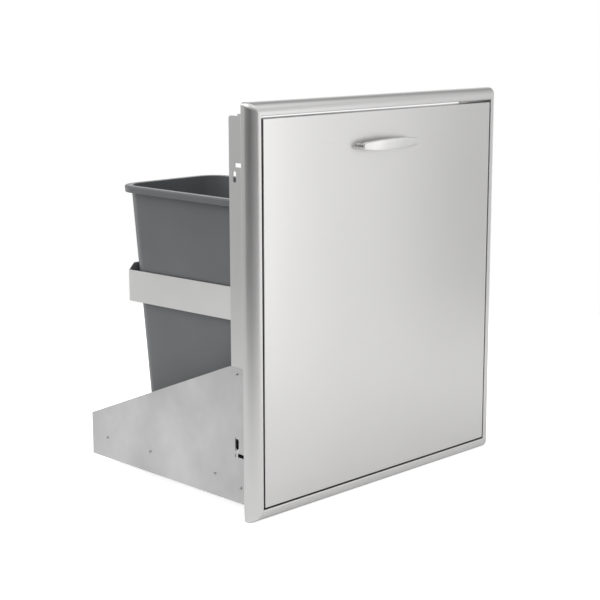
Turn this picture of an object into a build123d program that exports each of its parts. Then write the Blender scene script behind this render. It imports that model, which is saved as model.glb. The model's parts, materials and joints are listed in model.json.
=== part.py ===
from build123d import *
import os
from math import radians, tan

os.makedirs("parts", exist_ok=True)

# Pull-out trash cabinet for a built-in island. Millimetres. X is the width, -Y is the front and
# +Z is up. The origin is at the bottom centre of the whole cabinet's box.

# Driving dimensions
opening_width = 610.0  # clear opening that the door closes
opening_height = 680.0
bezel_width = 22.5  # bezel round the opening
bezel_depth = 28.0  # from the front plane to the wall plane
bezel_roll = 19.0  # radius of the bezel's rolled front
bezel_corner = 5.0  # outer corners of the bezel
bezel_return = 12.0  # flange that lies on the wall
fold = 1.8  # outer radius of a tight fold
sheet = 1.2  # frame, pan and door sheet
plate = 1.5  # carriage, hoop and gusset sheet
jamb_depth = 80.0  # collar of the jambs and the sill
head_depth = 58.0  # shorter collar of the head, so that the bins can lift out
door_gap = 3.2  # at the sides and the bottom
door_top_gap = 4.6
door_thickness = 24.0
pan_depth = 486.0  # from the front plane
pan_rear_height = 80.5  # above the opening's bottom edge
pan_front_height = 243.5
pan_level = 83.0  # where the pan's sides start to slope
slide_length = 450.0
slide_front = 33.0
slide_height = 40.0  # slide centreline above the opening's bottom edge
slide_thickness = 12.7
shelf_height = 80.0
bin_width = 252.0
bin_depth = 366.0
bin_height = 450.0
bin_front = 62.0
bin_spread = 60.0  # gap between the two rims
bin_corner = 44.0
bin_wall = 2.2
bin_draft = 3.2  # degrees on each wall
rim_overhang = 11.5
rim_height = 12.5
hoop_top = 368.0  # at its rear plate
hoop_rise = 6.5  # how much higher its sides are at the door
hoop_height = 60.0
hoop_inside = 264.2  # half width inside the hoop
hoop_rear = 411.0  # inside face of its rear plate
hoop_step = 12.0  # how far the rear plate stands above the sides
handle_length = 150.0
handle_spacing = 140.0
handle_height = 616.0
handle_reach = 25.0
handle_end_reach = 15.0
play = 0.3  # between parts that move past each other
shank = 2.0  # radius of every screw and rivet shank
hole = 2.1
slot_width = 7.5  # for the screws that hold the frame in the wall's cut-out
slot_length = 20.0
slot_depth = 66.5  # behind the front plane
slot_offset = 105.0  # from the opening's top and bottom edges
notch_length = 15.0
notch_width = 7.0
notch_depth = 57.5
notch_offset = 85.0

# Places that follow from them
face_y = -(pan_depth - handle_reach) / 2
sill_z = bezel_width
half_width = opening_width / 2
head_z = sill_z + opening_height
middle_z = sill_z + opening_height / 2
wall_y = face_y + bezel_depth
pan_inside = half_width + sheet
pan_outside = pan_inside + sheet
pan_bottom = sill_z - 2 * sheet
pan_rear_y = face_y + pan_depth
slide_z = sill_z + slide_height
slide_y = face_y + slide_front
slide_middle_y = slide_y + slide_length / 2
carriage_half = half_width - slide_thickness
shelf_z = sill_z + shelf_height
liner_y = face_y + door_thickness
through = 800.0  # longer than the cabinet, for cuts that go right through


def depth(distance):
    """The Y of a point this far behind the front plane."""
    return face_y + distance


def height(distance):
    """The Z of a point this far above the opening's bottom edge."""
    return sill_z + distance


def save_pair(part, name):
    """Writes a right-hand piece and its mirrored left-hand twin."""
    for side, piece in (("right", part), ("left", mirror(part, about=Plane.YZ))):
        piece.label = f"{side}_{name}"
        export_step(piece, f"parts/{side}_{name}.step")


# Front frame: one folded profile, mitred at the corners


def member_profile(plane, collar):
    """Folded bezel and collar. Local X points away from the opening, local Y to the rear."""
    with BuildSketch(plane) as profile:
        with BuildLine():
            shown = FilletPolyline(
                (0, collar),
                (0, 0),
                (bezel_width, 0),
                (bezel_width, bezel_depth),
                (bezel_width - bezel_return, bezel_depth),
                radius=(fold, bezel_roll, fold),
            )
            hidden = FilletPolyline(
                (sheet, collar),
                (sheet, sheet),
                (bezel_width - sheet, sheet),
                (bezel_width - sheet, bezel_depth - sheet),
                (bezel_width - bezel_return, bezel_depth - sheet),
                radius=(fold - sheet, bezel_roll - sheet, fold - sheet),
            )
            Line(shown @ 0, hidden @ 0)
            Line(shown @ 1, hidden @ 1)
        make_face()
    return profile.sketch


def trim_outer_corners():
    """Keeps what lies inside the frame's rounded outline."""
    with BuildSketch(Plane.XZ.offset(-face_y)) as outline:
        with Locations((0, middle_z)):
            RectangleRounded(
                opening_width + 2 * bezel_width, opening_height + 2 * bezel_width, bezel_corner
            )
    extrude(outline.sketch, amount=through, both=True, mode=Mode.INTERSECT)


# Each jamb collar has a vertical slot and a square one near each end, rivets and slide screws
slot_y = depth(slot_depth)
notch_y = depth(notch_depth)
rivet_places = [(depth(65), height(232)), (depth(58), height(27))]
screw_places = [(depth(distance), slide_z) for distance in (125, 307, 437)]

collar_drop = 2.2  # how far the jamb's collar stops short behind the head's
collar_corner = 5.0

with BuildPart() as right_jamb:
    jamb_plane = Plane((half_width, face_y, middle_z), x_dir=(1, 0, 0), z_dir=(0, 0, 1))
    jamb_profile = member_profile(jamb_plane, jamb_depth)
    extrude(jamb_profile, amount=opening_height / 2 + bezel_width, both=True)
    split(bisect_by=Plane((half_width, 0, sill_z), z_dir=(1, 0, 1)), keep=Keep.TOP)
    split(bisect_by=Plane((half_width, 0, head_z), z_dir=(1, 0, -1)), keep=Keep.TOP)
    trim_outer_corners()
    with BuildSketch(Plane.YZ.offset(half_width)):
        with Locations((slot_y, sill_z + slot_offset), (slot_y, head_z - slot_offset)):
            SlotOverall(slot_length, slot_width, rotation=90)
        with Locations((notch_y, sill_z + notch_offset), (notch_y, head_z - notch_offset)):
            Rectangle(notch_length, notch_width)
        with Locations(*rivet_places):
            Circle(hole)
        with Locations((depth(head_depth), head_z - collar_drop)):
            Rectangle(jamb_depth, bezel_width, align=(Align.MIN, Align.MIN))
    extrude(amount=2 * sheet, both=True, mode=Mode.SUBTRACT)
    fillet(
        right_jamb.edges().filter_by(Axis.X).group_by(Axis.Y)[-1].sort_by(Axis.Z)[-1],
        collar_corner,
    )
save_pair(right_jamb.part, "jamb")

with BuildPart() as head:
    head_plane = Plane((0, face_y, head_z), x_dir=(0, 0, 1), z_dir=(-1, 0, 0))
    extrude(member_profile(head_plane, head_depth), amount=half_width + bezel_width, both=True)
    split(bisect_by=Plane((half_width, 0, head_z), z_dir=(-1, 0, 1)), keep=Keep.TOP)
    split(bisect_by=Plane((-half_width, 0, head_z), z_dir=(1, 0, 1)), keep=Keep.TOP)
    trim_outer_corners()
head.part.label = "head"
export_step(head.part, "parts/head.step")

with BuildPart() as sill:
    sill_plane = Plane((0, face_y, sill_z), x_dir=(0, 0, -1), z_dir=(1, 0, 0))
    extrude(member_profile(sill_plane, jamb_depth), amount=half_width + bezel_width, both=True)
    split(bisect_by=Plane((half_width, 0, sill_z), z_dir=(-1, 0, -1)), keep=Keep.TOP)
    split(bisect_by=Plane((-half_width, 0, sill_z), z_dir=(1, 0, -1)), keep=Keep.TOP)
    trim_outer_corners()
sill.part.label = "sill"
export_step(sill.part, "parts/sill.step")

# Base pan: floor, sloping sides and rear wall, folded from one sheet
pan_relief = 8.0  # how much longer its slots are than the collars' slots that they clear

with BuildPart() as base_pan:
    with BuildSketch(Plane.YZ):
        with BuildLine():
            Polyline(
                (wall_y, pan_bottom),
                (pan_rear_y, pan_bottom),
                (pan_rear_y, height(pan_rear_height)),
                (depth(pan_level), height(pan_front_height)),
                (wall_y, height(pan_front_height)),
                close=True,
            )
        make_face()
    extrude(amount=pan_outside, both=True)
    fillet(
        base_pan.edges().filter_by(Axis.Z).group_by(Axis.Y)[-1]
        + base_pan.edges().group_by(Axis.Z)[0].filter_by(Axis.Y),
        fold,
    )
    with BuildSketch(Plane.YZ):
        with Locations((pan_rear_y - sheet, pan_bottom + sheet)):
            Rectangle(through, through, align=(Align.MAX, Align.MIN))
    extrude(amount=pan_inside, both=True, mode=Mode.SUBTRACT)
    with BuildSketch(Plane.YZ):
        with Locations((slot_y - 0.5, sill_z + slot_offset)):
            SlotOverall(slot_length + pan_relief, slot_width + 2, rotation=90)
        with Locations((notch_y + 2.5, sill_z + notch_offset)):
            SlotOverall(notch_length + pan_relief, notch_width + 2)
        with Locations((notch_y - notch_length, sill_z + notch_offset)):
            Rectangle(2 * notch_length + pan_relief / 2, notch_width + 2)
        with Locations(*rivet_places, *screw_places):
            Circle(hole)
    extrude(amount=through, both=True, mode=Mode.SUBTRACT)
base_pan.part.label = "base_pan"
export_step(base_pan.part, "parts/base_pan.step")


def fastener(radius, head_height, length, tail=0.0):
    """Domed head standing on local Z = 0 with its shank below, and a formed tail on a rivet."""
    with BuildPart() as piece:
        Cylinder(radius, head_height, align=(Align.CENTER, Align.CENTER, Align.MIN))
        fillet(piece.edges().sort_by(Axis.Z)[-1], 0.6 * head_height)
        Cylinder(shank, length + tail, align=(Align.CENTER, Align.CENTER, Align.MAX))
        if tail:
            with Locations((0, 0, -length)):
                Cylinder(1.5 * shank, tail, align=(Align.CENTER, Align.CENTER, Align.MAX))
    return piece.part


rivet_head = 1.6
rivet_tail = 1.2
screw_head = 2.0
head_radius = 4.0
pan_head_radius = 3.0
handle_screw_length = 10.0


def rivet(grip, radius=head_radius):
    """Pop rivet through this much sheet."""
    return fastener(radius, rivet_head, grip, rivet_tail)


def screw(grip, radius=head_radius):
    return fastener(radius, screw_head, grip)


pan_rivet = rivet(2 * sheet, pan_head_radius)
plate_rivet = rivet(plate + sheet)
double_rivet = rivet(2 * plate)
triple_rivet = rivet(3 * plate)
pan_screw = screw(3 * sheet, pan_head_radius)
plate_screw = screw(plate + sheet)
handle_screw = screw(handle_screw_length)


def facing(x, y, z, direction):
    """Plane at a point, with its normal along a row direction."""
    return Plane((x, y, z), z_dir=direction)


outward = {side: (side, 0, 0) for side in (1, -1)}

with BuildPart() as frame_rivets:
    for side in (1, -1):
        for y, z in rivet_places:
            with Locations(facing(side * pan_outside, y, z, outward[side])):
                add(pan_rivet)
frame_rivets.part.label = "frame_rivets"
export_step(frame_rivets.part, "parts/frame_rivets.step")

with BuildPart() as slide_screws:
    for side in (1, -1):
        for y, z in screw_places:
            with Locations(facing(side * pan_outside, y, z, outward[side])):
                add(pan_screw)
slide_screws.part.label = "slide_screws"
export_step(slide_screws.part, "parts/slide_screws.step")

# Washers that fill the gap between each slide and the pan side, one collar thickness
with BuildPart() as slide_shims:
    for side in (1, -1):
        for y, z in screw_places:
            with BuildSketch(facing(side * half_width, y, z, outward[side])):
                Circle(2 * head_radius)
                Circle(hole, mode=Mode.SUBTRACT)
            extrude(amount=sheet)
slide_shims.part.label = "slide_shims"
export_step(slide_shims.part, "parts/slide_shims.step")

# Bumpers on the pan's rear wall
bumper_length = 5.0
bumper_radius = 9.0
bumper_x = 200.0
bumper_z = height(52)

with BuildPart() as bumpers:
    for side in (1, -1):
        with BuildSketch(facing(side * bumper_x, pan_rear_y - sheet, bumper_z, (0, -1, 0))):
            Circle(bumper_radius)
        extrude(amount=bumper_length, taper=12)
    fillet(bumpers.faces().group_by(Axis.Y)[0].edges(), bumper_length / 4)
bumpers.part.label = "bumpers"
export_step(bumpers.part, "parts/bumpers.step")

# Ball slides. Each member is a channel, and an inset is measured from the slide's outer face
race = 1.2
cage_sheet = 0.6
cabinet_half = 22.6
middle_half = 16.6
inner_half = 10.8
outer_ball = 2.0
inner_ball = 1.8
outer_ball_row = 19.0
inner_ball_row = 13.0
cage_length = 220.0
cage_front = slide_middle_y - cage_length / 2
balls_in_row = 6


def channel(web_inset, thickness, tip_inset, half, front, length):
    """Channel of the right-hand slide, with its web at one inset and flange tips at the other."""
    outer_x = half_width - min(web_inset, tip_inset)
    inner_x = half_width - max(web_inset, tip_inset)
    web_x = outer_x if web_inset < tip_inset else inner_x
    inwards = -1 if web_inset < tip_inset else 1
    reach = outer_x - inner_x - thickness
    with BuildSketch(Plane.XZ.offset(-front)) as section:
        with Locations(((outer_x + inner_x) / 2, slide_z)):
            Rectangle(outer_x - inner_x, 2 * half)
        with Locations((web_x + inwards * (thickness + reach / 2), slide_z)):
            Rectangle(reach, 2 * (half - thickness), mode=Mode.SUBTRACT)
    extrude(section.sketch, amount=-length)


def ball_places(inset, row):
    """Centres of the balls in the two rows of one cage."""
    pitch = cage_length / balls_in_row
    return [
        (half_width - inset, cage_front + pitch * (step + 0.5), slide_z + side * row)
        for side in (1, -1)
        for step in range(balls_in_row)
    ]


with BuildPart() as cabinet_member:
    channel(0, race, 10.5, cabinet_half, slide_y, slide_length)
    with BuildSketch(Plane.YZ.offset(half_width)):
        with Locations(*screw_places):
            Circle(hole)
        with Locations(*rivet_places):
            Circle(2 * hole)
    extrude(amount=-2 * race, mode=Mode.SUBTRACT)
save_pair(cabinet_member.part, "slide_cabinet_member")

with BuildPart() as middle_member:
    channel(2.4, race, 11.0, middle_half, slide_y, slide_length)
save_pair(middle_member.part, "slide_middle_member")

carriage_holes = [(depth(distance), slide_z) for distance in (75, 258, 440)]

with BuildPart() as drawer_member:
    channel(slide_thickness, race, 4.9, inner_half, slide_y, slide_length)
    with BuildSketch(Plane.YZ.offset(carriage_half)):
        with Locations(*carriage_holes):
            Circle(hole)
    extrude(amount=2 * race, mode=Mode.SUBTRACT)
save_pair(drawer_member.part, "slide_drawer_member")

# Each cage: inset of its web, inset of its flange tips, half height to the middle of the balls,
# inset of the balls and their radius
cages = {
    "outer": (1.5, 9.5, outer_ball_row, 6.5, outer_ball),
    "inner": (3.9, 10.5, inner_ball_row, 7.5, inner_ball),
}
for place, (web_inset, tip_inset, row, ball_inset, radius) in cages.items():
    centres = ball_places(ball_inset, row)
    with BuildPart() as cage:
        channel(web_inset, cage_sheet, tip_inset, row + cage_sheet / 2, cage_front, cage_length)
        with Locations(*centres):
            Cylinder(radius + play, 4 * cage_sheet, mode=Mode.SUBTRACT)
    save_pair(cage.part, f"{place}_ball_cage")
    with BuildPart() as balls:
        with Locations(*centres):
            Sphere(radius)
    save_pair(balls.part, f"{place}_balls")

# Door: a folded skin closed by a folded liner
liner_flange = 12.0
door_width = opening_width - 2 * door_gap
door_height = opening_height - door_gap - door_top_gap
door_z = sill_z + door_gap + door_height / 2
handle_z = height(handle_height)

with BuildPart() as door_skin:
    with BuildSketch(Plane.XZ.offset(-face_y)):
        with Locations((0, door_z)):
            Rectangle(door_width, door_height)
    extrude(amount=-door_thickness)
    fillet(door_skin.faces().sort_by(Axis.Y)[0].edges(), fold)
    offset(amount=-sheet, openings=door_skin.faces().sort_by(Axis.Y)[-1])
    with BuildSketch(Plane.XZ.offset(-face_y)):
        with Locations((-handle_spacing / 2, handle_z), (handle_spacing / 2, handle_z)):
            Circle(hole)
    extrude(amount=-4 * sheet, mode=Mode.SUBTRACT)
door_skin.part.label = "door_skin"
export_step(door_skin.part, "parts/door_skin.step")

# Fixings through the liner: the carriage's front flange, the gussets, the hoop and the divider
divider_half = 46.0
tab = 18.0
hoop_middle = height(hoop_top - hoop_height / 2)
hoop_rows = (hoop_middle - tab, hoop_middle + tab)
hoop_front_rows = [z + hoop_rise for z in hoop_rows]
hoop_tab_x = hoop_inside - tab / 2
divider_tab_x = divider_half + tab / 2
gusset_height = 220.0
gusset_length = 150.0
gusset_x = carriage_half - 2.0
gusset_tab_x = gusset_x - plate - tab / 2
gusset_tip = 12.0
gusset_top = 22.0
gusset_rows = (shelf_z + 40, shelf_z + 180)
carriage_front_holes = [(x, slide_z) for x in (-240, -80, 80, 240)]
hoop_holes = [(s * hoop_tab_x, z) for s in (1, -1) for z in hoop_front_rows]
divider_holes = [(s * divider_tab_x, z) for s in (1, -1) for z in hoop_rows]
gusset_holes = [(s * gusset_tab_x, z) for s in (1, -1) for z in gusset_rows]

with BuildPart() as door_liner:
    with BuildSketch(Plane.XZ.offset(-liner_y)):
        with Locations((0, door_z)):
            Rectangle(door_width - 2 * sheet - play, door_height - 2 * sheet - play)
    extrude(amount=liner_flange)
    offset(amount=-sheet, openings=door_liner.faces().sort_by(Axis.Y)[0])
    with BuildSketch(Plane.XZ.offset(-liner_y)):
        with Locations(*carriage_front_holes, *hoop_holes, *divider_holes, *gusset_holes):
            Circle(hole)
    extrude(amount=2 * sheet, mode=Mode.SUBTRACT)
door_liner.part.label = "door_liner"
export_step(door_liner.part, "parts/door_liner.step")

# Handle: an arched band cut to a leaf outline, on two round feet
bow_thickness = 4.0
bow_end_height = 11.5
bow_middle_height = 22.0
foot_radius = 4.5
half_bow = handle_length / 2

with BuildPart() as handle:
    with BuildSketch(Plane.XY.offset(handle_z)):
        with BuildLine():
            front_edge = ThreePointArc(
                (-half_bow, depth(-handle_end_reach)),
                (0, depth(-handle_reach)),
                (half_bow, depth(-handle_end_reach)),
            )
            rear_edge = ThreePointArc(
                (-half_bow, depth(bow_thickness - handle_end_reach)),
                (0, depth(bow_thickness - handle_reach)),
                (half_bow, depth(bow_thickness - handle_end_reach)),
            )
            Line(front_edge @ 0, rear_edge @ 0)
            Line(front_edge @ 1, rear_edge @ 1)
        make_face()
    extrude(amount=bow_middle_height / 2, both=True)
    with BuildSketch(Plane.XZ.offset(-face_y)) as leaf:
        with BuildLine():
            upper = ThreePointArc(
                (-half_bow, handle_z + bow_end_height / 2),
                (0, handle_z + bow_middle_height / 2),
                (half_bow, handle_z + bow_end_height / 2),
            )
            lower = ThreePointArc(
                (-half_bow, handle_z - bow_end_height / 2),
                (0, handle_z - bow_middle_height / 2),
                (half_bow, handle_z - bow_end_height / 2),
            )
            Line(upper @ 0, lower @ 0)
            Line(upper @ 1, lower @ 1)
        make_face()
        fillet(leaf.vertices(), 0.42 * bow_end_height)
    extrude(amount=2 * handle_reach, mode=Mode.INTERSECT)
    with BuildSketch(Plane.XZ.offset(-face_y)):
        with Locations((-handle_spacing / 2, handle_z), (handle_spacing / 2, handle_z)):
            Circle(foot_radius)
    extrude(amount=handle_end_reach - 1)
    with BuildSketch(Plane.XZ.offset(-face_y)):
        with Locations((-handle_spacing / 2, handle_z), (handle_spacing / 2, handle_z)):
            Circle(hole)
    extrude(amount=handle_screw_length, mode=Mode.SUBTRACT)
handle.part.label = "handle"
export_step(handle.part, "parts/handle.step")

with BuildPart() as handle_screws:
    for side in (1, -1):
        with Locations(facing(side * handle_spacing / 2, face_y + sheet, handle_z, (0, 1, 0))):
            add(handle_screw)
handle_screws.part.label = "handle_screws"
export_step(handle_screws.part, "parts/handle_screws.step")

# Carriage: a shelf with front and rear flanges, on two angle rails beside the slides
carriage_rear_y = pan_rear_y - sheet - bumper_length - play
carriage_drop = 58.0
rail_rear_y = carriage_rear_y - plate
foot_distances = (45, 115)
rail_distances = (240, 400)
shelf_holes = [
    (side * gusset_tab_x, liner_y + distance)
    for side in (1, -1)
    for distance in foot_distances + rail_distances
]

with BuildPart() as carriage_shelf:
    with BuildSketch(Plane.XY.offset(shelf_z)):
        with Locations((0, (liner_y + carriage_rear_y) / 2)):
            Rectangle(2 * carriage_half, carriage_rear_y - liner_y)
    extrude(amount=-carriage_drop)
    with BuildSketch(Plane.YZ):
        with Locations(((liner_y + carriage_rear_y) / 2, shelf_z - plate)):
            Rectangle(
                carriage_rear_y - liner_y - 2 * plate, through, align=(Align.CENTER, Align.MAX)
            )
    extrude(amount=through, both=True, mode=Mode.SUBTRACT)
    with BuildSketch(Plane.XZ.offset(-liner_y)):
        with Locations(*carriage_front_holes):
            Circle(hole)
    extrude(amount=-2 * plate, mode=Mode.SUBTRACT)
    with BuildSketch(Plane.XY.offset(shelf_z)):
        with Locations(*shelf_holes):
            Circle(hole)
    extrude(amount=-2 * plate, mode=Mode.SUBTRACT)
carriage_shelf.part.label = "carriage_shelf"
export_step(carriage_shelf.part, "parts/carriage_shelf.step")

with BuildPart() as carriage_rail:
    with BuildSketch(Plane.XZ.offset(-(liner_y + plate))):
        with Locations((carriage_half, shelf_z - plate)):
            Rectangle(plate, carriage_drop - plate, align=(Align.MAX, Align.MAX))
            Rectangle(tab + 2 * plate, plate, align=(Align.MAX, Align.MAX))
    extrude(amount=liner_y + plate - rail_rear_y)
    with BuildSketch(Plane.YZ.offset(carriage_half)):
        with Locations(*carriage_holes):
            Circle(hole)
    extrude(amount=-2 * plate, mode=Mode.SUBTRACT)
    with BuildSketch(Plane.XY.offset(shelf_z)):
        with Locations(*[(x, y) for x, y in shelf_holes if x > 0]):
            Circle(hole)
    extrude(amount=-3 * plate, mode=Mode.SUBTRACT)
save_pair(carriage_rail.part, "carriage_rail")

with BuildPart() as carriage_screws:
    for side in (1, -1):
        inwards = (-side, 0, 0)
        for y, z in carriage_holes:
            with Locations(facing(side * (carriage_half - plate), y, z, inwards)):
                add(plate_screw)
    for x, z in carriage_front_holes:
        with Locations(facing(x, liner_y + plate, z, (0, 1, 0))):
            add(plate_screw)
carriage_screws.part.label = "carriage_screws"
export_step(carriage_screws.part, "parts/carriage_screws.step")

with BuildPart() as shelf_rivets:
    for side in (1, -1):
        for distance in foot_distances:
            with Locations((side * gusset_tab_x, liner_y + distance, shelf_z + plate)):
                add(triple_rivet)
        for distance in rail_distances:
            with Locations((side * gusset_tab_x, liner_y + distance, shelf_z)):
                add(double_rivet)
shelf_rivets.part.label = "shelf_rivets"
export_step(shelf_rivets.part, "parts/shelf_rivets.step")

# Gussets that brace the door on the carriage
foot_holes = [(gusset_tab_x, liner_y + distance) for distance in foot_distances]

with BuildPart() as gusset:
    with BuildSketch(Plane.YZ.offset(gusset_x)):
        with BuildLine():
            Polyline(
                (liner_y, shelf_z),
                (liner_y + gusset_length, shelf_z),
                (liner_y + gusset_length, shelf_z + gusset_tip),
                (liner_y + gusset_top, shelf_z + gusset_height),
                (liner_y, shelf_z + gusset_height),
                close=True,
            )
        make_face()
    extrude(amount=-plate)
    with BuildSketch(Plane.XY.offset(shelf_z)):
        with Locations((gusset_x - (tab + plate) / 2, liner_y + gusset_length / 2)):
            Rectangle(tab + plate, gusset_length)
        with Locations(*foot_holes):
            Circle(hole, mode=Mode.SUBTRACT)
    extrude(amount=plate)
    with BuildSketch(Plane.XZ.offset(-liner_y)):
        with Locations((gusset_x - (tab + plate) / 2, shelf_z + gusset_height / 2)):
            Rectangle(tab + plate, gusset_height)
        with Locations(*[(gusset_tab_x, z) for z in gusset_rows]):
            Circle(hole, mode=Mode.SUBTRACT)
    extrude(amount=-plate)
save_pair(gusset.part, "door_gusset")

with BuildPart() as gusset_rivets:
    for side in (1, -1):
        for z in gusset_rows:
            with Locations(facing(side * gusset_tab_x, liner_y + plate, z, (0, 1, 0))):
                add(plate_rivet)
gusset_rivets.part.label = "gusset_rivets"
export_step(gusset_rivets.part, "parts/gusset_rivets.step")

# Hoop round the bins, with a taller rear plate whose corners are cut back
hoop_outside = hoop_inside + plate
rear_plate_y = depth(hoop_rear)
hoop_low = height(hoop_top - hoop_height)
hoop_high = height(hoop_top)

with BuildPart() as bin_hoop:
    with BuildSketch(Plane.XY.offset(hoop_low)):
        with Locations((0, (liner_y + rear_plate_y + plate) / 2)):
            Rectangle(2 * hoop_outside, rear_plate_y + plate - liner_y)
    extrude(amount=hoop_height + hoop_rise)
    fillet(bin_hoop.edges().filter_by(Axis.Z).group_by(Axis.Y)[-1], fold)
    with BuildSketch(Plane.XY.offset(hoop_low)):
        with Locations((0, (liner_y + rear_plate_y) / 2)):
            Rectangle(2 * hoop_inside, rear_plate_y - liner_y)
    extrude(amount=hoop_height + hoop_rise, mode=Mode.SUBTRACT)
    with BuildSketch(Plane.YZ):
        with BuildLine():
            Polyline(
                (liner_y, hoop_low + hoop_rise),
                (rear_plate_y, hoop_low),
                (rear_plate_y + plate, hoop_low),
                (rear_plate_y + plate, hoop_high),
                (rear_plate_y, hoop_high),
                (liner_y, hoop_high + hoop_rise),
                close=True,
            )
        make_face()
    extrude(amount=through, both=True, mode=Mode.INTERSECT)
    for side in (1, -1):
        with BuildSketch(Plane.XZ.offset(-liner_y)):
            with Locations((side * hoop_tab_x, hoop_middle + hoop_rise)):
                Rectangle(tab, hoop_height)
        extrude(amount=-plate)
    with BuildSketch(Plane.XZ.offset(-rear_plate_y)):
        with BuildLine():
            Polyline(
                (-hoop_outside + fold, hoop_high),
                (hoop_outside - fold, hoop_high),
                (hoop_outside - fold - hoop_step, hoop_high + hoop_step),
                (-hoop_outside + fold + hoop_step, hoop_high + hoop_step),
                close=True,
            )
        make_face()
    extrude(amount=-plate)
    with BuildSketch(Plane.XZ):
        with Locations(*hoop_holes, *divider_holes):
            Circle(hole)
    extrude(amount=through, both=True, mode=Mode.SUBTRACT)
bin_hoop.part.label = "bin_hoop"
export_step(bin_hoop.part, "parts/bin_hoop.step")

# Divider: an upturned channel from the door to the hoop's rear plate, with tabs at both ends
with BuildPart() as bin_divider:
    with BuildSketch(Plane.XZ.offset(-liner_y)):
        with Locations((0, hoop_middle)):
            Rectangle(2 * divider_half, hoop_height)
        with Locations((0, hoop_middle - plate)):
            Rectangle(2 * (divider_half - plate), hoop_height, mode=Mode.SUBTRACT)
    extrude(amount=liner_y - rear_plate_y)
    for y in (liner_y + plate, rear_plate_y):
        with BuildSketch(Plane.XZ.offset(-y)):
            for side in (1, -1):
                with Locations((side * (divider_half + tab / 2 - plate / 2), hoop_middle)):
                    Rectangle(tab + plate, hoop_height)
            with Locations(*divider_holes):
                Circle(hole, mode=Mode.SUBTRACT)
        extrude(amount=plate)
bin_divider.part.label = "bin_divider"
export_step(bin_divider.part, "parts/bin_divider.step")

with BuildPart() as hoop_rivets:
    for x, z in hoop_holes + divider_holes:
        with Locations(facing(x, liner_y + plate, z, (0, 1, 0))):
            add(plate_rivet)
    for x, z in divider_holes:
        with Locations(facing(x, rear_plate_y + plate, z, (0, 1, 0))):
            add(double_rivet)
hoop_rivets.part.label = "hoop_rivets"
export_step(hoop_rivets.part, "parts/hoop_rivets.step")

# Bins: tapered, open at the top, with a rolled rim
bin_x = (bin_spread + bin_width) / 2
bin_y = depth(bin_front + bin_depth / 2)
bin_bottom = shelf_z + play
rim_z = bin_bottom + bin_height
mouth_width = bin_width - 2 * rim_overhang
mouth_depth = bin_depth - 2 * rim_overhang
taper = 2 * bin_height * tan(radians(bin_draft))
mouth_corner = bin_corner - rim_overhang / 2
base_corner = mouth_corner - 8
bin_floor = 3.0
floor_curve = 6.0
rim_curve = 3.0

with BuildPart() as bin_body:
    with BuildSketch(Plane((bin_x, bin_y, bin_bottom))):
        RectangleRounded(mouth_width - taper, mouth_depth - taper, base_corner)
    with BuildSketch(Plane((bin_x, bin_y, rim_z))):
        RectangleRounded(mouth_width, mouth_depth, mouth_corner)
    loft()
    fillet(bin_body.faces().sort_by(Axis.Z)[0].edges(), floor_curve)

with BuildPart() as bin_cavity:
    with BuildSketch(Plane((bin_x, bin_y, bin_bottom + bin_floor))):
        RectangleRounded(
            mouth_width - taper - 2 * bin_wall, mouth_depth - taper - 2 * bin_wall, base_corner
        )
    with BuildSketch(Plane((bin_x, bin_y, rim_z + 0.01))):
        RectangleRounded(
            mouth_width - 2 * bin_wall, mouth_depth - 2 * bin_wall, mouth_corner - bin_wall
        )
    loft()
    fillet(bin_cavity.faces().sort_by(Axis.Z)[0].edges(), floor_curve)

with BuildPart() as bin:
    with BuildSketch(Plane((bin_x, bin_y, rim_z))):
        RectangleRounded(bin_width, bin_depth, bin_corner)
    extrude(amount=-rim_height)
    fillet(bin.faces().sort_by(Axis.Z)[-1].edges(), rim_curve)
    with BuildSketch(Plane((bin_x, bin_y, rim_z - bin_wall))):
        RectangleRounded(bin_width - 2 * bin_wall, bin_depth - 2 * bin_wall, bin_corner - bin_wall)
    extrude(amount=-rim_height, mode=Mode.SUBTRACT)
    add(bin_body.part)
    add(bin_cavity.part, mode=Mode.SUBTRACT)
save_pair(bin.part, "bin")
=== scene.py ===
import json
from math import acos, cos, pi, radians, sin, sqrt, tan

import bmesh
import bpy
from mathutils import Matrix, Vector


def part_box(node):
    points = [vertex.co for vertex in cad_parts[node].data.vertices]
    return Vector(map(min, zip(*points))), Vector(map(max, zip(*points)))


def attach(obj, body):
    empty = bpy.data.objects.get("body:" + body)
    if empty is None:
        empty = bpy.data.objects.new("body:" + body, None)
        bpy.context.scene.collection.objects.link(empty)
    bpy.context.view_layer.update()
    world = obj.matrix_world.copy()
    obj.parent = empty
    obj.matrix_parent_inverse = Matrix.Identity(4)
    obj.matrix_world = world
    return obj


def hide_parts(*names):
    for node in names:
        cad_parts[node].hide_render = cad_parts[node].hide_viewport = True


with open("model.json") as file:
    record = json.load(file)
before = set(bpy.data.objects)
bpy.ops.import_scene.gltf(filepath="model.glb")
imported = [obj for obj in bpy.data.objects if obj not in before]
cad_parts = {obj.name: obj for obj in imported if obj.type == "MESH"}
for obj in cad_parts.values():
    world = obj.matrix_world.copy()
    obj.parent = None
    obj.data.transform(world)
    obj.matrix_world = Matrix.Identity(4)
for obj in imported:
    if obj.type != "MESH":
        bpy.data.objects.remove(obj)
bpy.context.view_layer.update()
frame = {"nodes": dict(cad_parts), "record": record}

# Pull-out trash cabinet, in the row frame: X is the width, -Y the front, +Z up. Sizes are in
# millimetres here and turned into metres as each mesh is made.
MM = 0.001
nodes = frame["nodes"]
home = {n: body for body, names in frame["record"]["behaviour"]["bodies"].items() for n in names}


# Shader nodes


def add_node(tree, kind, inputs=None, **settings):
    """A new shader node with its settings, and with its inputs linked or set."""
    made = tree.nodes.new(kind)
    for key, value in settings.items():
        setattr(made, key, value)
    for key, value in (inputs or {}).items():
        socket = made.inputs[key]
        if isinstance(value, bpy.types.NodeSocket):
            tree.links.new(value, socket)
        else:
            socket.default_value = value
    return made


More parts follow.
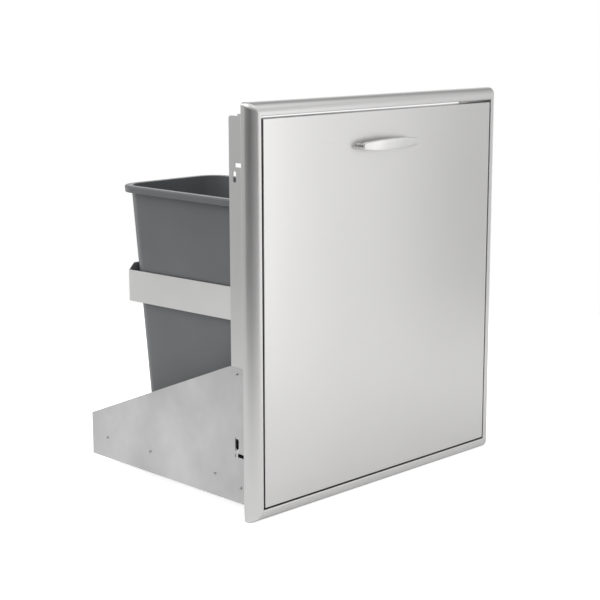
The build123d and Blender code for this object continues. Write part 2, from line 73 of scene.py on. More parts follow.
def new_material(name):
    """A material with an empty Principled shader. Returns the material, its tree and the shader."""
    made = bpy.data.materials.new(name)
    made.use_nodes = True
    tree = made.node_tree
    return made, tree, tree.nodes["Principled BSDF"]


def noise(tree, vector, scale, detail=3.0, roughness=0.5):
    made = add_node(
        tree,
        "ShaderNodeTexNoise",
        {"Vector": vector, "Scale": scale, "Detail": detail, "Roughness": roughness},
    )
    return made.outputs["Fac"]


def remap(tree, value, low, high, new_low, new_high):
    """The value, taken from low..high to new_low..new_high and clamped."""
    made = add_node(
        tree,
        "ShaderNodeMapRange",
        {"Value": value, "From Min": low, "From Max": high, "To Min": new_low, "To Max": new_high},
    )
    return made.outputs["Result"]


def math_node(tree, operation, first, second):
    made = add_node(tree, "ShaderNodeMath", operation=operation)
    for socket, value in zip(made.inputs, (first, second)):
        if isinstance(value, bpy.types.NodeSocket):
            tree.links.new(value, socket)
        else:
            socket.default_value = value
    return made.outputs[0]


def mix_colour(tree, factor, first, second):
    made = add_node(tree, "ShaderNodeMix", data_type="RGBA")
    tree.links.new(factor, made.inputs[0])
    made.inputs[6].default_value = (*first, 1)
    made.inputs[7].default_value = (*second, 1)
    return made.outputs[2]


def shade(colour, amount):
    return tuple(c * amount for c in colour)


streak_share = 0.65  # of the tint, the part that the streaks carry. The clouds carry the rest.


def metal(
    name, colour, roughness, grain, width, length, relief,
    anisotropy=0.0, cloud=0.06, spread=0.06, tint=0.04, blotch=0.0,
):
    """Brushed or rolled metal: streaks of this width and length along one axis, and faint clouds
    of duller metal. Spread and cloud are how far the streaks and the clouds change the roughness,
    tint how far they change the colour, and blotch how far slow patches do."""
    made, tree, shader = new_material(name)
    place = add_node(tree, "ShaderNodeTexCoord").outputs["Object"]
    stretch = [1 / width] * 3
    stretch["XYZ".index(grain)] = 1 / length
    drawn = add_node(tree, "ShaderNodeMapping", {"Vector": place, "Scale": stretch}).outputs[0]
    streaks = noise(tree, drawn, 1.0, detail=4.0, roughness=0.65)
    clouds = noise(tree, place, 7.0, detail=4.0, roughness=0.6)
    dull = math_node(
        tree,
        "ADD",
        remap(tree, streaks, 0.25, 0.75, -spread, spread),
        remap(tree, clouds, 0.3, 0.7, -cloud, cloud),
    )
    tree.links.new(math_node(tree, "ADD", dull, roughness), shader.inputs["Roughness"])
    share = tint / (tint + blotch)
    tone = math_node(
        tree,
        "ADD",
        remap(tree, streaks, 0.25, 0.75, 0.0, streak_share * share),
        remap(tree, clouds, 0.3, 0.7, 0.0, (1 - streak_share) * share),
    )
    if blotch:
        patches = noise(tree, place, 9.0, detail=3.0)
        tone = math_node(tree, "ADD", tone, remap(tree, patches, 0.3, 0.7, 0.0, 1 - share))
    swing = tint + blotch
    painted = mix_colour(tree, tone, shade(colour, 1 - swing), shade(colour, 1 + swing))
    tree.links.new(painted, shader.inputs["Base Color"])
    lumps = add_node(
        tree, "ShaderNodeBump", {"Height": streaks, "Strength": 1.0, "Distance": relief}
    )
    tree.links.new(lumps.outputs[0], shader.inputs["Normal"])
    shader.inputs["Metallic"].default_value = 1.0
    if anisotropy:
        shader.inputs["Anisotropic"].default_value = anisotropy
        turn = add_node(tree, "ShaderNodeTangent", direction_type="RADIAL", axis=grain)
        tree.links.new(turn.outputs[0], shader.inputs["Tangent"])
    return made


def moulded(name, colour, roughness, pebble, relief, spread=0.05):
    """Moulded plastic or rubber with a fine pebbled skin and faint flow clouds."""
    made, tree, shader = new_material(name)
    place = add_node(tree, "ShaderNodeTexCoord").outputs["Object"]
    pebbles = add_node(
        tree,
        "ShaderNodeTexVoronoi",
        {"Vector": place, "Scale": 1 / pebble},
        feature="SMOOTH_F1",
    ).outputs["Distance"]
    fine = noise(tree, place, 0.6 / pebble, detail=4.0, roughness=0.6)
    clouds = noise(tree, place, 5.0, detail=4.0)
    skin = math_node(tree, "ADD", math_node(tree, "MULTIPLY", pebbles, 0.6), fine)
    dull = math_node(
        tree,
        "ADD",
        remap(tree, fine, 0.3, 0.7, -spread, spread),
        remap(tree, clouds, 0.3, 0.7, -spread, spread),
    )
    tree.links.new(math_node(tree, "ADD", dull, roughness), shader.inputs["Roughness"])
    painted = mix_colour(
        tree, remap(tree, clouds, 0.3, 0.7, 0.0, 1.0), shade(colour, 0.92), shade(colour, 1.08)
    )
    tree.links.new(painted, shader.inputs["Base Color"])
    lumps = add_node(tree, "ShaderNodeBump", {"Height": skin, "Strength": 1.0, "Distance": relief})
    tree.links.new(lumps.outputs[0], shader.inputs["Normal"])
    return made


stainless = (0.66, 0.655, 0.65)
rolled = (0.58, 0.58, 0.58)
zinc = (0.62, 0.64, 0.66)
door_steel = metal(
    "door_steel", stainless, 0.30, "X", 0.35 * MM, 60 * MM, 0.0016 * MM, 0.5, 0.015, 0.02, 0.02
)
upright_steel = metal(
    "upright_steel", stainless, 0.38, "Z", 0.35 * MM, 60 * MM, 0.002 * MM, 0.2, 0.02, 0.03, 0.02
)
level_steel = metal(
    "level_steel", stainless, 0.38, "X", 0.35 * MM, 60 * MM, 0.002 * MM, 0.2, 0.02, 0.03, 0.02
)
handle_steel = metal(
    "handle_steel", (0.69, 0.685, 0.68), 0.28, "X", 0.3 * MM, 30 * MM, 0.002 * MM, tint=0.02
)
sheet_steel = metal("sheet_steel", rolled, 0.40, "Y", 0.6 * MM, 40 * MM, 0.004 * MM)
pan_steel = metal(
    "pan_steel", rolled, 0.38, "Y", 0.6 * MM, 40 * MM, 0.004 * MM, cloud=0.12, blotch=0.12
)
hoop_steel = metal("hoop_steel", (0.72, 0.715, 0.71), 0.42, "Y", 0.5 * MM, 40 * MM, 0.004 * MM)
slide_steel = metal("slide_steel", zinc, 0.33, "Y", 0.8 * MM, 50 * MM, 0.004 * MM, cloud=0.1)
cage_steel = metal("cage_steel", zinc, 0.28, "Y", 0.6 * MM, 30 * MM, 0.003 * MM)
ball_steel = metal("ball_steel", (0.75, 0.75, 0.76), 0.10, "X", 2 * MM, 2 * MM, 0.0005 * MM)
fastener_steel = metal("fastener_steel", (0.4, 0.4, 0.4), 0.2, "Z", 0.6 * MM, 3 * MM, 0.003 * MM)
bin_plastic = moulded("bin_plastic", (0.128, 0.133, 0.138), 0.30, 1.1 * MM, 0.03 * MM, 0.02)
bumper_rubber = moulded("bumper_rubber", (0.03, 0.03, 0.03), 0.7, 0.8 * MM, 0.03 * MM)
cut_edge = metal("cut_edge", (0.74, 0.74, 0.74), 0.42, "Z", 0.4 * MM, 2 * MM, 0.003 * MM)


# Mesh helpers
sharp_edge = 50  # degrees, above which a sheet's edge is a cut one
edge_break = 0.25
weld_gap = 0.002  # points this close are one
shortest_edge = 0.001
flat_angle = 0.5  # degrees, below which two facets are one face


def link(name, mesh, materials):
    """A new object for a mesh, with its materials."""
    made = bpy.data.objects.new(name, mesh)
    bpy.context.scene.collection.objects.link(made)
    for material in materials:
        mesh.materials.append(material)
    return made


def stand_for(piece, node, sharp=35):
    """Smooths a piece between its sharp edges, and puts it in the place of a CAD node."""
    piece.data.shade_smooth()
    piece.data.set_sharp_from_angle(angle=radians(sharp))
    weighted = piece.modifiers.new("normals", "WEIGHTED_NORMAL")
    weighted.keep_sharp = True
    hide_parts(node)
    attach(piece, home[node])


def to_mesh(drawing, name):
    """Closes a bmesh drawing into a mesh, with its normals facing outwards."""
    bmesh.ops.remove_doubles(drawing, verts=drawing.verts, dist=weld_gap * MM)
    bmesh.ops.dissolve_degenerate(drawing, edges=drawing.edges, dist=shortest_edge * MM)
    bmesh.ops.recalc_face_normals(drawing, faces=drawing.faces)
    mesh = bpy.data.meshes.new(name)
    drawing.to_mesh(mesh)
    drawing.free()
    return mesh


def loft(name, rings, closed=False, marked=()):
    """A solid through rings of points in millimetres. A closed one joins its last ring to its
    first, and an open one is capped. Faces that start at the marked points of a ring get the
    second material."""
    drawing = bmesh.new()
    verts = [[drawing.verts.new(Vector(p) * MM) for p in ring] for ring in rings]
    count = len(rings[0])
    pairs = list(zip(verts, verts[1:] + (verts[:1] if closed else [])))
    for first, second in pairs[: len(rings) if closed else len(rings) - 1]:
        for i in range(count):
            j = (i + 1) % count
            face = drawing.faces.new((first[i], first[j], second[j], second[i]))
            face.material_index = 1 if i in marked else 0
    if not closed:
        drawing.faces.new(verts[0])
        drawing.faces.new(verts[-1])
    return to_mesh(drawing, name)


def rounded(points, radii, steps=8):
    """A polyline whose inner corners are rounded to these radii."""
    made = [Vector(points[0])]
    for before, corner, after, radius in zip(points, points[1:], points[2:], radii):
        corner = Vector(corner)
        a = (Vector(before) - corner).normalized()
        b = (Vector(after) - corner).normalized()
        half = a.angle(b) / 2
        centre = corner + (a + b).normalized() * radius / sin(half)
        spoke = corner + a * radius / tan(half) - centre
        sweep = (pi - 2 * half) * (1 if a.x * b.y - a.y * b.x < 0 else -1)
        for step in range(steps + 1):
            turned = Matrix.Rotation(sweep * step / steps, 2) @ spoke
            made.append(centre + turned)
    made.append(Vector(points[-1]))
    return made


def rounded_rectangle(half_width, half_depth, radius, steps=8, sides=1):
    """Points round a rectangle. The straight sides are cut into equal parts."""
    made = []
    corners = [(1, 1, 0), (-1, 1, 90), (-1, -1, 180), (1, -1, 270)]
    for x, y, start in corners:
        for step in range(steps + 1):
            turn = radians(start + 90 * step / steps)
            made.append(
                (
                    x * (half_width - radius) + radius * cos(turn),
                    y * (half_depth - radius) + radius * sin(turn),
                )
            )
    if sides == 1:
        return made
    full = []
    for index, point in enumerate(made):
        full.append(point)
        if index % (steps + 1) == steps:
            after = made[(index + 1) % len(made)]
            for part in range(1, sides):
                share = part / sides
                full.append(tuple(p + (q - p) * share for p, q in zip(point, after)))
    return full


def lathe(drawing, profile, segments=32):
    """Turns a profile of (radius, height) points in millimetres round Z, into a bmesh."""
    rows = []
    for radius, height in profile:
        if radius == 0:
            rows.append([drawing.verts.new((0, 0, height * MM))] * segments)
            continue
        turns = [2 * pi * i / segments for i in range(segments)]
        rows.append(
            [
                drawing.verts.new((radius * cos(t) * MM, radius * sin(t) * MM, height * MM))
                for t in turns
            ]
        )
    for first, second in zip(rows, rows[1:]):
        for i in range(segments):
            j = (i + 1) % segments
            corners = []
            for vert in (first[i], first[j], second[j], second[i]):
                if vert not in corners:
                    corners.append(vert)
            if len(corners) > 2:
                drawing.faces.new(corners)


def combine(piece, cutter, operation):
    """Applies a boolean to a piece's mesh and removes the cutter."""
    change = piece.modifiers.new("combine", "BOOLEAN")
    change.object = cutter
    change.operation = operation
    change.solver = "EXACT"
    settled = bpy.data.meshes.new_from_object(
        piece.evaluated_get(bpy.context.evaluated_depsgraph_get())
    )
    piece.modifiers.remove(change)
    piece.data = settled
    bpy.data.objects.remove(cutter)


def bevelled(drawing):
    """Rounds the sharp edges of a drawing. The new faces get the second material."""
    edges = [
        edge
        for edge in drawing.edges
        if len(edge.link_faces) == 2 and edge.calc_face_angle(0) > radians(sharp_edge)
    ]
    bmesh.ops.bevel(
        drawing,
        geom=edges,
        offset=edge_break * MM,
        segments=2,
        profile=0.5,
        affect="EDGES",
        clamp_overlap=True,
        material=1,
    )


def refined(node, materials):
    """A copy of a CAD node's mesh with its flat faces whole and its cut edges broken."""
    drawing = bmesh.new()
    drawing.from_mesh(nodes[node].data)
    bmesh.ops.remove_doubles(drawing, verts=drawing.verts, dist=weld_gap * MM)
    bmesh.ops.dissolve_limit(
        drawing, angle_limit=radians(flat_angle), verts=drawing.verts, edges=drawing.edges
    )
    bevelled(drawing)
    mesh = bpy.data.meshes.new(node)
    drawing.to_mesh(mesh)
    drawing.free()
    mesh.materials.clear()
    stand_for(link(f"{node}_sheet", mesh, materials), node)


# Sizes, in millimetres
half_width, half_height = 305.0, 340.0  # of the opening
sheet, fold = 1.2, 1.8
bezel_width, bezel_depth, bezel_roll, bezel_return = 22.5, 28.0, 19.0, 12.0
sill_z = bezel_width
middle_z = sill_z + half_height
face_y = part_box("door_skin")[0].y / MM
long_collar, short_collar = 80.0, 58.0
collar_drop, collar_corner = 2.2, 5.0
blend = 7.0  # radius added to a corner half way round the bezel's roll
top_corner, bottom_corner = 5.5, 1.5  # radius at the bezel's rear
arc_steps, mitre_steps = 16, 20

# Front frame: the folded profile, carried round blended corners to the mitres


def bezel_profile(collar):
    """Section of the bezel and collar as (away from the opening, to the rear) points, and the
    indices of its two cut edges."""
    shown = rounded(
        [
            (0, collar),
            (0, 0),
            (bezel_width, 0),
            (bezel_width, bezel_depth),
            (bezel_width - bezel_return, bezel_depth),
        ],
        (fold, bezel_roll, fold),
        arc_steps,
    )
    hidden = rounded(
        [
            (sheet, collar),
            (sheet, sheet),
            (bezel_width - sheet, sheet),
            (bezel_width - sheet, bezel_depth - sheet),
            (bezel_width - bezel_return, bezel_depth - sheet),
        ],
        (fold - sheet, bezel_roll - sheet, fold - sheet),
        arc_steps,
    )
    profile = shown + hidden[::-1]
    return profile, (len(shown) - 1, len(profile) - 1)


def corner_radius(out, back, at_rear):
    """Corner radius of one line of the profile: none at the opening, full on the roll."""
    lean = acos(1 - min(back / bezel_roll, 1.0))
    return (blend * sin(2 * lean) + at_rear * (1 - cos(lean))) * out / bezel_width


def frame_member(node, towards, collar, materials):
    """One side of the frame. It faces this many degrees round from +X."""
    profile, cut_edges = bezel_profile(collar)
    rings = []
    for corner, first in ((towards - 45, towards - 45), (towards + 45, towards)):
        side_x = 1 if cos(radians(corner)) > 0 else -1
        side_z = 1 if sin(radians(corner)) > 0 else -1
        at_rear = top_corner if side_z > 0 else bottom_corner
        for step in range(mitre_steps + 1):
            turn = radians(first + 45 * step / mitre_steps)
            ring = []
            for out, back in profile:
                radius = corner_radius(out, back, at_rear)
                x = side_x * (half_width + out - radius) + radius * cos(turn)
                z = side_z * (half_height + out - radius) + radius * sin(turn)
                ring.append((x, face_y + back, middle_z + z))
            rings.append(ring)
    return link(f"{node}_bezel", loft(node, rings, marked=cut_edges), materials)


cutter_reach = 8.0


def side_cutter(side, outlines):
    """Prisms along X through one jamb's collar. Each outline is a list of (Y, Z) points."""
    drawing = bmesh.new()
    for outline in outlines:
        ends = [
            [(side * (half_width + reach), y, z) for y, z in outline]
            for reach in (-cutter_reach, cutter_reach)
        ]
        prism = loft("prism", ends)
        drawing.from_mesh(prism)
        bpy.data.meshes.remove(prism)
    mesh = bpy.data.meshes.new("cutter")
    drawing.to_mesh(mesh)
    drawing.free()
    return link("cutter", mesh, [])


def shifted(outline, y, z):
    return [(a + y, b + z) for a, b in outline]


slot_width, slot_length, slot_depth, slot_offset = 7.5, 20.0, 66.5, 105.0
notch_length, notch_width, notch_depth, notch_offset = 15.0, 7.0, 57.5, 85.0
notch_corner = 0.4
slot_flat = 0.01  # half the flat left between a slot's round corners
wall_slot = rounded_rectangle(slot_width / 2, slot_length / 2, slot_width / 2 - slot_flat)
square_slot = rounded_rectangle(notch_length / 2, notch_width / 2, notch_corner, steps=3)


def collar_end():
    """What is cut off the top of a jamb's collar: all behind the head's, with a round corner."""
    top, rear = middle_z + half_height, face_y + long_collar
    stop = top - collar_drop
    past = 5.0  # how far the cut goes beyond the collar
    end = [
        (rear + past, stop - collar_corner),
        (rear + past, top + past),
        (face_y + short_collar, top + past),
    ]
    arc = rounded(
        [(face_y + short_collar, stop), (rear, stop), (rear, stop - collar_corner - 1)],
        (collar_corner,),
    )
    return end + [(p.x, p.y) for p in arc[:-1]]


def make_frame():
    for node, towards in (("right_jamb", 0), ("head", 90), ("left_jamb", 180), ("sill", 270)):
        collar = short_collar if node == "head" else long_collar
        grain = upright_steel if "jamb" in node else level_steel
        piece = frame_member(node, towards, collar, [grain, cut_edge])
        if "jamb" in node:
            side = 1 if node == "right_jamb" else -1
            outlines = []
            for end in (1, -1):
                slot_z = middle_z + end * (half_height - slot_offset)
                notch_z = middle_z + end * (half_height - notch_offset)
                outlines.append(shifted(wall_slot, face_y + slot_depth, slot_z))
                outlines.append(shifted(square_slot, face_y + notch_depth, notch_z))
            outlines.append(collar_end())
            combine(piece, side_cutter(side, outlines), "DIFFERENCE")
        stand_for(piece, node)


# Door: two folded trays, the skin open to the rear and the liner closing it
door_low, door_high = (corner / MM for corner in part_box("door_skin"))
door_half_width, door_half_height = door_high.x, (door_high.z - door_low.z) / 2
door_z, door_thickness = (door_high.z + door_low.z) / 2, 24.0
door_fold, door_corner = 1.2, 1.2
liner_gap, liner_flange = 1.35, 12.0
face_start = fold + 1  # how far in from a tray's side its section starts


def tray(name, inset, closed_at, open_at, materials):
    """A folded tray across the door, from the depth of its closed face to its open edge."""
    inwards = 1 if open_at > closed_at else -1
    section = rounded([(face_start, 0), (0, 0), (0, abs(open_at - closed_at))], (door_fold,), 5)
    inner = [(face_start, sheet), (sheet, sheet), (sheet, abs(open_at - closed_at))]
    rings = []
    for across, back in section + inner[::-1]:
        outline = rounded_rectangle(
            door_half_width - inset - across,
            door_half_height - inset - across,
            door_corner,
            steps=4,
        )
        y = face_y + closed_at + inwards * back
        rings.append([(x, y, door_z + z) for x, z in outline])
    return link(name, loft(name, rings), materials)


def make_door():
    stand_for(tray("door_skin_tray", 0, 0, door_thickness, [door_steel]), "door_skin")
    liner = tray(
        "door_liner_tray",
        liner_gap,
        door_thickness,
        door_thickness - liner_flange,
        [sheet_steel],
    )
    stand_for(liner, "door_liner")


# Handle: a leaf-shaped arched band with soft edges, on two round feet
bow_half, bow_thickness, bow_end_height, bow_middle_height = 75.0, 4.0, 11.5, 22.0
handle_reach, handle_end_reach, handle_spacing = 25.0, 15.0, 140.0
bow_tip = 5.2  # how far from each end it starts to close
tip_thickness = 0.35  # share of the thickness that is left at each end
front_power, edge_power = 0.75, 0.6  # below 1, they square off the oval section
foot_radius, foot_flare, foot_stop = 4.5, 0.6, 0.5  # it stops this short of the bow's ends
handle_z = sill_z + 616.0
bow_stations, bow_points = 72, 40


def bow_rings():
    """Sections of the bow across X: a soft-edged bar that swells towards the middle."""
    rings = []
    for station in range(1, bow_stations):
        x = -bow_half * cos(pi * station / bow_stations)
        share = (x / bow_half) ** 2
        tall = bow_middle_height / 2 + share * (bow_end_height - bow_middle_height) / 2
        into_tip = max(0.0, (abs(x) - (bow_half - bow_tip)) / bow_tip)
        close = sqrt(max(1 - into_tip**2, 0.0))
        thick = bow_thickness / 2 * (tip_thickness + (1 - tip_thickness) * close)
        middle_y = face_y - handle_reach + bow_thickness / 2
        middle_y += share * (handle_reach - handle_end_reach)
        ring = []
        for point in range(bow_points):
            turn = 2 * pi * point / bow_points
            c, s = cos(turn), sin(turn)
            across = (abs(c) ** front_power) * (1 if c > 0 else -1)
            up = (abs(s) ** edge_power) * (1 if s > 0 else -1)
            ring.append((x, middle_y + thick * across, handle_z + tall * close * up))
        rings.append(ring)
    return rings


def make_handle():
    handle = link("handle_bow", loft("handle", bow_rings()), [handle_steel])
    feet = bmesh.new()
    reach = handle_end_reach - foot_stop
    profile = [
        (0, 0),
        (foot_radius + foot_flare, 0),
        (foot_radius + foot_flare, 0.7),
        (foot_radius + 0.25, 1.3),
        (foot_radius, 2.4),
        (foot_radius - 0.3, reach - 2),
        (foot_radius - 1.2, reach),
        (0, reach),
    ]
    for side in (1, -1):
        foot = bmesh.new()
        lathe(foot, profile)
        mesh = to_mesh(foot, "foot")
        mesh.transform(
            Matrix.Translation(Vector((side * handle_spacing / 2, face_y, handle_z)) * MM)
            @ Matrix.Rotation(pi / 2, 4, "X")
        )
        feet.from_mesh(mesh)
        bpy.data.meshes.remove(mesh)
    joined = bpy.data.meshes.new("feet")
    feet.to_mesh(joined)
    feet.free()
    combine(handle, link("feet", joined, []), "UNION")
    stand_for(handle, "handle", sharp=50)


# Bins: drafted, slightly bowed walls, a curved base with a foot ring, and a rolled rim
bin_height, bin_wall, bin_floor, bin_draft = 450.0, 2.2, 3.0, radians(3.2)
mouth_half_width, mouth_half_depth, mouth_corner, base_corner = 114.5, 171.5, 38.25, 30.25
rim_overhang, rim_height = 11.5, 12.5
base_curve = 6.0
wall_start, wall_end, inner_wall_end = 40.0, 435.0, 430.0  # heights of the plain walls
wall_bow = 1.3  # how far the middle of each wall curves in
bow_end = 0.96  # share of the height at which the bow has run out
wall_parts, bow_power = 8, 8  # the bow fades towards the corners by this power
corner_loss, least_corner = 0.8, 6  # radius lost for each millimetre of inset


def bin_profile():
    """(inset from the drafted outer wall, height above the base) from the underside, round the
    rim and down to the floor."""
    bands = 14
    outside = rounded([(14, 0), (0, 0), (0, wall_start)], (base_curve,), 6)
    foot = [(24, 1.6), (11, 1.6), (10, 1.3), (9.4, 0.3), (8.9, 0)]
    climb, fall = wall_end - wall_start, inner_wall_end - wall_start
    walls = [(0, wall_start + climb * step / bands) for step in range(bands + 1)]
    under_rim = rounded(
        [
            (0, wall_end + 3),
            (0, bin_height - bin_wall),
            (bin_wall - rim_overhang, bin_height - bin_wall),
            (bin_wall - rim_overhang, bin_height - rim_height),
        ],
        (1.6, 1.8),
        4,
    )
    rim = rounded(
        [
            (bin_wall - rim_overhang, bin_height - rim_height),
            (-rim_overhang, bin_height - rim_height),
            (-rim_overhang, bin_height),
            (bin_wall, bin_height),
            (bin_wall, inner_wall_end),
        ],
        (0.7, 3.0, 1.3),
        6,
    )
    inside = [(bin_wall, inner_wall_end - fall * step / bands) for step in range(1, bands + 1)]
    floor = rounded(
        [(bin_wall, wall_start), (bin_wall, bin_floor), (30, bin_floor)], (base_curve,), 6
    )
    crown = [(45, bin_floor + 0.5)]
    below = foot + outside[1:-1] + walls
    return below + under_rim[1:] + rim[1:-1] + inside + floor[1:] + crown


def bin_ring(inset, height, x, y, bottom):
    """Points round the bin at one place on its profile."""
    narrowing = (bin_height - height) * tan(bin_draft)
    share = height / bin_height
    corner = base_corner + share * (mouth_corner - base_corner)
    corner = max(corner - corner_loss * inset, least_corner)
    half_x = mouth_half_width - narrowing - inset
    half_y = mouth_half_depth - narrowing - inset
    bow = wall_bow * sin(pi * min(share / bow_end, 1))
    ring = []
    for a, b in rounded_rectangle(half_x, half_y, corner, sides=wall_parts):
        pull_a = bow * (1 - (b / half_y) ** 2) * (abs(a) / half_x) ** bow_power
        pull_b = bow * (1 - (a / half_x) ** 2) * (abs(b) / half_y) ** bow_power
        a -= pull_a if a > 0 else -pull_a
        b -= pull_b if b > 0 else -pull_b
        ring.append((x + a, y + b, bottom + height))
    return ring


def make_bins():
    for node in ("left_bin", "right_bin"):
        low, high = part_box(node)
        x, y, bottom = (low.x + high.x) / 2 / MM, (low.y + high.y) / 2 / MM, low.z / MM
        rings = [bin_ring(*station, x, y, bottom) for station in bin_profile()]
        stand_for(link(f"{node}_moulding", loft(node, rings), [bin_plastic]), node, sharp=60)


# Slides: each member is a channel with rounded races
race_radius = 2.4


def make_slides():
    for node in [n for n in nodes if "_slide_" in n and n.endswith("_member")]:
        low, high = (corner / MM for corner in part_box(node))
        side = -1 if node.startswith("left") else 1
        opens_outwards = "drawer" in node
        web = low.x if (side > 0) == opens_outwards else high.x
        tip = high.x if web == low.x else low.x
        towards = 1 if tip > web else -1
        bottom, top = low.z, high.z
        section = rounded(
            [(tip, top), (web, top), (web, bottom), (tip, bottom)], (race_radius, race_radius), 5
        )
        inner = rounded(
            [
                (tip, top - sheet),
                (web + towards * sheet, top - sheet),
                (web + towards * sheet, bottom + sheet),
                (tip, bottom + sheet),
            ],
            (race_radius - sheet, race_radius - sheet),
            5,
        )
        outline = section + inner[::-1]
        rings = [[(x, y, z) for x, z in outline] for y in (low.y, high.y)]
        piece = link(f"{node}_channel", loft(node, rings), [slide_steel])
        stand_for(piece, node)


# Fasteners: pop rivets with their mandrel holes, and cross-head screws. Their profiles are drawn
# with this head radius, and the heads are scaled from it.
drawn_head, shank = 4.0, 2.0
fastener_segments = 40
rim_share = 0.97  # of the radius, beyond which a point is on the head's rim


def islands(node):
    """Corner points of each separate solid of a node, in millimetres."""
    drawing = bmesh.new()
    drawing.from_mesh(nodes[node].data)
    bmesh.ops.remove_doubles(drawing, verts=drawing.verts, dist=weld_gap * MM)
    seen, found = set(), []
    for start in drawing.verts:
        if start in seen:
            continue
        seen.add(start)
        group, queue = [], [start]
        while queue:
            vert = queue.pop()
            group.append(vert.co / MM)
            for edge in vert.link_edges:
                other = edge.other_vert(vert)
                if other not in seen:
                    seen.add(other)
                    queue.append(other)
        found.append(group)
    drawing.free()
    return found


def fastener_places(node):
    """For each fastener: the matrix that puts its head's underside in place, its length below
    the head, and its head's radius."""
    made = []
    for points in islands(node):
        low = Vector(min(p[i] for p in points) for i in range(3))
        high = Vector(max(p[i] for p in points) for i in range(3))
        size, centre = high - low, (high + low) / 2
        axis = min(range(3), key=lambda i: abs(size[(i + 1) % 3] - size[(i + 2) % 3]))
        radius = max(size[(axis + 1) % 3], size[(axis + 2) % 3]) / 2
        wide = []
        for point in points:
            flat = point - centre
            flat[axis] = 0
            if flat.length > rim_share * radius:
                wide.append(point[axis])
        head_low, head_high = min(wide), max(wide)
        outwards = 1 if (head_low + head_high) / 2 > centre[axis] else -1
        direction = Vector((0, 0, 0))
        direction[axis] = outwards
        seat = centre.copy()
        seat[axis] = head_low if outwards > 0 else head_high
        grip = (seat[axis] - low[axis]) if outwards > 0 else (high[axis] - seat[axis])
        turn = direction.to_track_quat("Z", "Y").to_matrix().to_4x4()
        made.append((Matrix.Translation(seat * MM) @ turn, round(grip, 1), round(radius, 1)))
    return made


def rivet_mesh(grip, head_radius):
    drawing = bmesh.new()
    tail = 1.2
    wide = head_radius / drawn_head
    profile = [
        (0, 0.3),
        (1.05, 0.3),
        (1.2, 0.5),
        (1.3, 1.5),
        (1.5, 1.6),
        (2.3 * wide, 1.5),
        (3.1 * wide, 1.2),
        (3.7 * wide, 0.75),
        (3.98 * wide, 0.35),
        (4.0 * wide, 0.12),
        (3.9 * wide, 0),
        (shank, 0),
        (shank, tail - grip),
        (2.9, tail - grip),
        (3.0, 0.8 - grip),
        (2.6, 0.3 - grip),
        (1.6, -grip),
        (0, -grip),
    ]
    lathe(drawing, profile, fastener_segments)
    return to_mesh(drawing, "rivet")


def screw_mesh(grip, head_radius):
    drawing = bmesh.new()
    wide = head_radius / drawn_head
    profile = [
        (0, 2.0),
        (1.5 * wide, 1.97),
        (2.7 * wide, 1.75),
        (3.5 * wide, 1.35),
        (3.9 * wide, 0.8),
        (4.0 * wide, 0.3),
        (3.9 * wide, 0),
        (shank, 0),
        (shank, 0.4 - grip),
        (1.6, -grip),
        (0, -grip),
    ]
    lathe(drawing, profile, fastener_segments)
    screw = link("screw", to_mesh(drawing, "screw"), [])
    for turn in (0, 90):  # the recess is a cross of two tapering blades
        top, bottom = (2.1 * wide, 0.55), (0.35, 0.3)
        rings = []
        for half_long, half_wide, z in ((*top, 2.4), (*bottom, 0.4)):
            rectangle = [
                (half_long, half_wide),
                (-half_long, half_wide),
                (-half_long, -half_wide),
                (half_long, -half_wide),
            ]
            rings.append([(a, b, z) for a, b in rectangle])
        blade = link("blade", loft("blade", rings), [])
        blade.data.transform(Matrix.Rotation(radians(turn), 4, "Z"))
        combine(screw, blade, "DIFFERENCE")
    mesh = screw.data
    bpy.data.objects.remove(screw)
    return mesh


turn_between = 2.4  # radians from one fastener's recess to the next, so that no two line up


def make_fasteners():
    for node in sorted(nodes):
        if not node.endswith(("_rivets", "_screws")):
            continue
        make = rivet_mesh if node.endswith("_rivets") else screw_mesh
        masters, drawing = {}, bmesh.new()
        for index, (place, *size) in enumerate(fastener_places(node)):
            size = tuple(size)
            if size not in masters:
                masters[size] = make(*size)
            copy = masters[size].copy()
            copy.transform(place @ Matrix.Rotation(turn_between * index, 4, "Z"))
            drawing.from_mesh(copy)
            bpy.data.meshes.remove(copy)
        mesh = bpy.data.meshes.new(node)
        drawing.to_mesh(mesh)
        drawing.free()
        stand_for(link(f"{node}_detail", mesh, [fastener_steel]), node, sharp=40)


sheet_parts = {
    "base_pan": pan_steel,
    "carriage_shelf": sheet_steel,
    "left_carriage_rail": sheet_steel,
    "right_carriage_rail": sheet_steel,
    "left_door_gusset": sheet_steel,
    "right_door_gusset": sheet_steel,
    "bin_hoop": hoop_steel,
    "bin_divider": hoop_steel,
}
for name, node in nodes.items():
    node.data.materials.clear()
    node.data.materials.append(slide_steel)
    if name.endswith("_ball_cage"):
        node.data.materials[0] = cage_steel
    if name.endswith("_balls"):
        node.data.materials[0] = ball_steel
nodes["bumpers"].data.materials[0] = bumper_rubber
nodes["slide_shims"].data.materials[0] = fastener_steel

make_frame()
make_door()
make_handle()
make_bins()
make_slides()
make_fasteners()
for name, material in sheet_parts.items():
    refined(name, [material, cut_edge])


# Studio


def area_light(name, place, target, width, height, power):
    lamp = bpy.data.lights.new(name, "AREA")
    lamp.shape = "RECTANGLE"
    lamp.size = width
    lamp.size_y = height
    lamp.energy = power
    made = bpy.data.objects.new(name, lamp)
    bpy.context.scene.collection.objects.link(made)
    made.location = place
    aim = Vector(target) - Vector(place)
    made.rotation_euler = aim.to_track_quat("-Z", "Y").to_euler()


area_light("front_card", (0.45, -1.45, 0.5), (-0.1, -0.23, 0.4), 0.6, 1.0, 2)
area_light("side_card", (0.95, -1.35, 0.5), (0, -0.23, 0.4), 0.6, 1.0, 0.9)
area_light("top_light", (0.3, -0.6, 2.6), (0, 0, 0.2), 2.4, 2.4, 13)

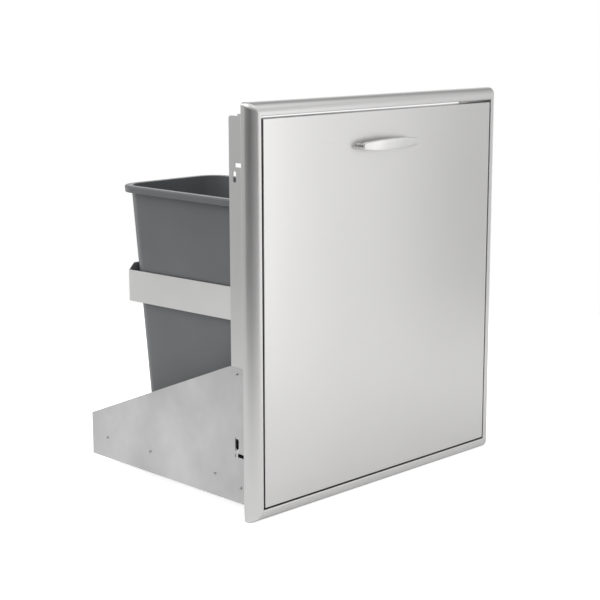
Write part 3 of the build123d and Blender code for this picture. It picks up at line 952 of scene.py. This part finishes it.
# Soft pools of light round a dim room: (degrees round from the front towards +X, degrees up,
# strength). The walls' pools are narrower than the ceiling's.
ambient = 0.1
wall_pools = [(-165, 0, 1.1), (-15, 0, 0.25), (45, 0, 0.25), (75, 0, 0.7), (120, 0, 1.6)]
ceiling_pools = [(-120, 45, 2.4), (-45, 45, 0.5), (45, 45, 0.6)]
wall_edge, ceiling_edge = 0.8, 0.7  # cosine of the angle from a pool's middle to its edge

# The picture shows plain white paper behind the object, and the object sees the room.
world = bpy.data.worlds.new("studio")
bpy.context.scene.world = world
world.use_nodes = True
tree = world.node_tree
tree.nodes.clear()
direction = add_node(tree, "ShaderNodeTexCoord").outputs["Generated"]
level = ambient
for turn, rise, strength in wall_pools + ceiling_pools:
    a, b = radians(turn), radians(rise)
    edge = ceiling_edge if rise else wall_edge
    towards = (sin(a) * cos(b), -cos(a) * cos(b), sin(b))
    facing = add_node(tree, "ShaderNodeVectorMath", operation="DOT_PRODUCT")
    tree.links.new(direction, facing.inputs[0])
    facing.inputs[1].default_value = towards
    glow = remap(tree, facing.outputs["Value"], edge, 1.0, 0.0, strength)
    level = math_node(tree, "ADD", level, glow)
room = add_node(tree, "ShaderNodeBackground", {"Strength": level, "Color": (1, 1, 1, 1)})
paper = add_node(tree, "ShaderNodeBackground", {"Strength": 1.0, "Color": (1, 1, 1, 1)})
seen = add_node(tree, "ShaderNodeLightPath").outputs["Is Camera Ray"]
both = add_node(tree, "ShaderNodeMixShader", {0: seen, 1: room.outputs[0], 2: paper.outputs[0]})
add_node(tree, "ShaderNodeOutputWorld", {"Surface": both.outputs[0]})

floor_radius, floor_drop = 1.6, 0.0005
glow_unseen, glow_seen = 0.15, 0.75  # how brightly the floor glows to the object and the camera
floor_mesh = bpy.data.meshes.new("floor")
drawing = bmesh.new()
bmesh.ops.create_circle(drawing, cap_ends=True, segments=96, radius=floor_radius)
drawing.to_mesh(floor_mesh)
drawing.free()
floor = bpy.data.objects.new("floor", floor_mesh)
bpy.context.scene.collection.objects.link(floor)
floor.location = (0, 0, -floor_drop)
floor_paint, tree, shader = new_material("floor_paint")
shader.inputs["Base Color"].default_value = (0.8, 0.8, 0.8, 1)
shader.inputs["Roughness"].default_value = 0.9
shader.inputs["Emission Color"].default_value = (1, 1, 1, 1)
seen = add_node(tree, "ShaderNodeLightPath").outputs["Is Camera Ray"]
lit = remap(tree, seen, 0.0, 1.0, glow_unseen, glow_seen)
tree.links.new(lit, shader.inputs["Emission Strength"])
floor_mesh.materials.append(floor_paint)

bpy.context.scene.view_settings.view_transform = "Standard"

camera = bpy.data.objects.new("camera", bpy.data.cameras.new("camera"))
bpy.context.scene.collection.objects.link(camera)
camera.data.lens = 87.5
camera.data.sensor_width = 36.0
camera.location = (-1.96, -1.981, 0.878)
azimuth, drop, roll = radians(44.88), radians(11.35), radians(-0.1)
facing = Matrix.Rotation(-azimuth, 3, "Z") @ Matrix.Rotation(pi / 2 - drop, 3, "X")
camera.rotation_euler = (facing @ Matrix.Rotation(roll, 3, "Z")).to_euler()
bpy.context.scene.camera = camera
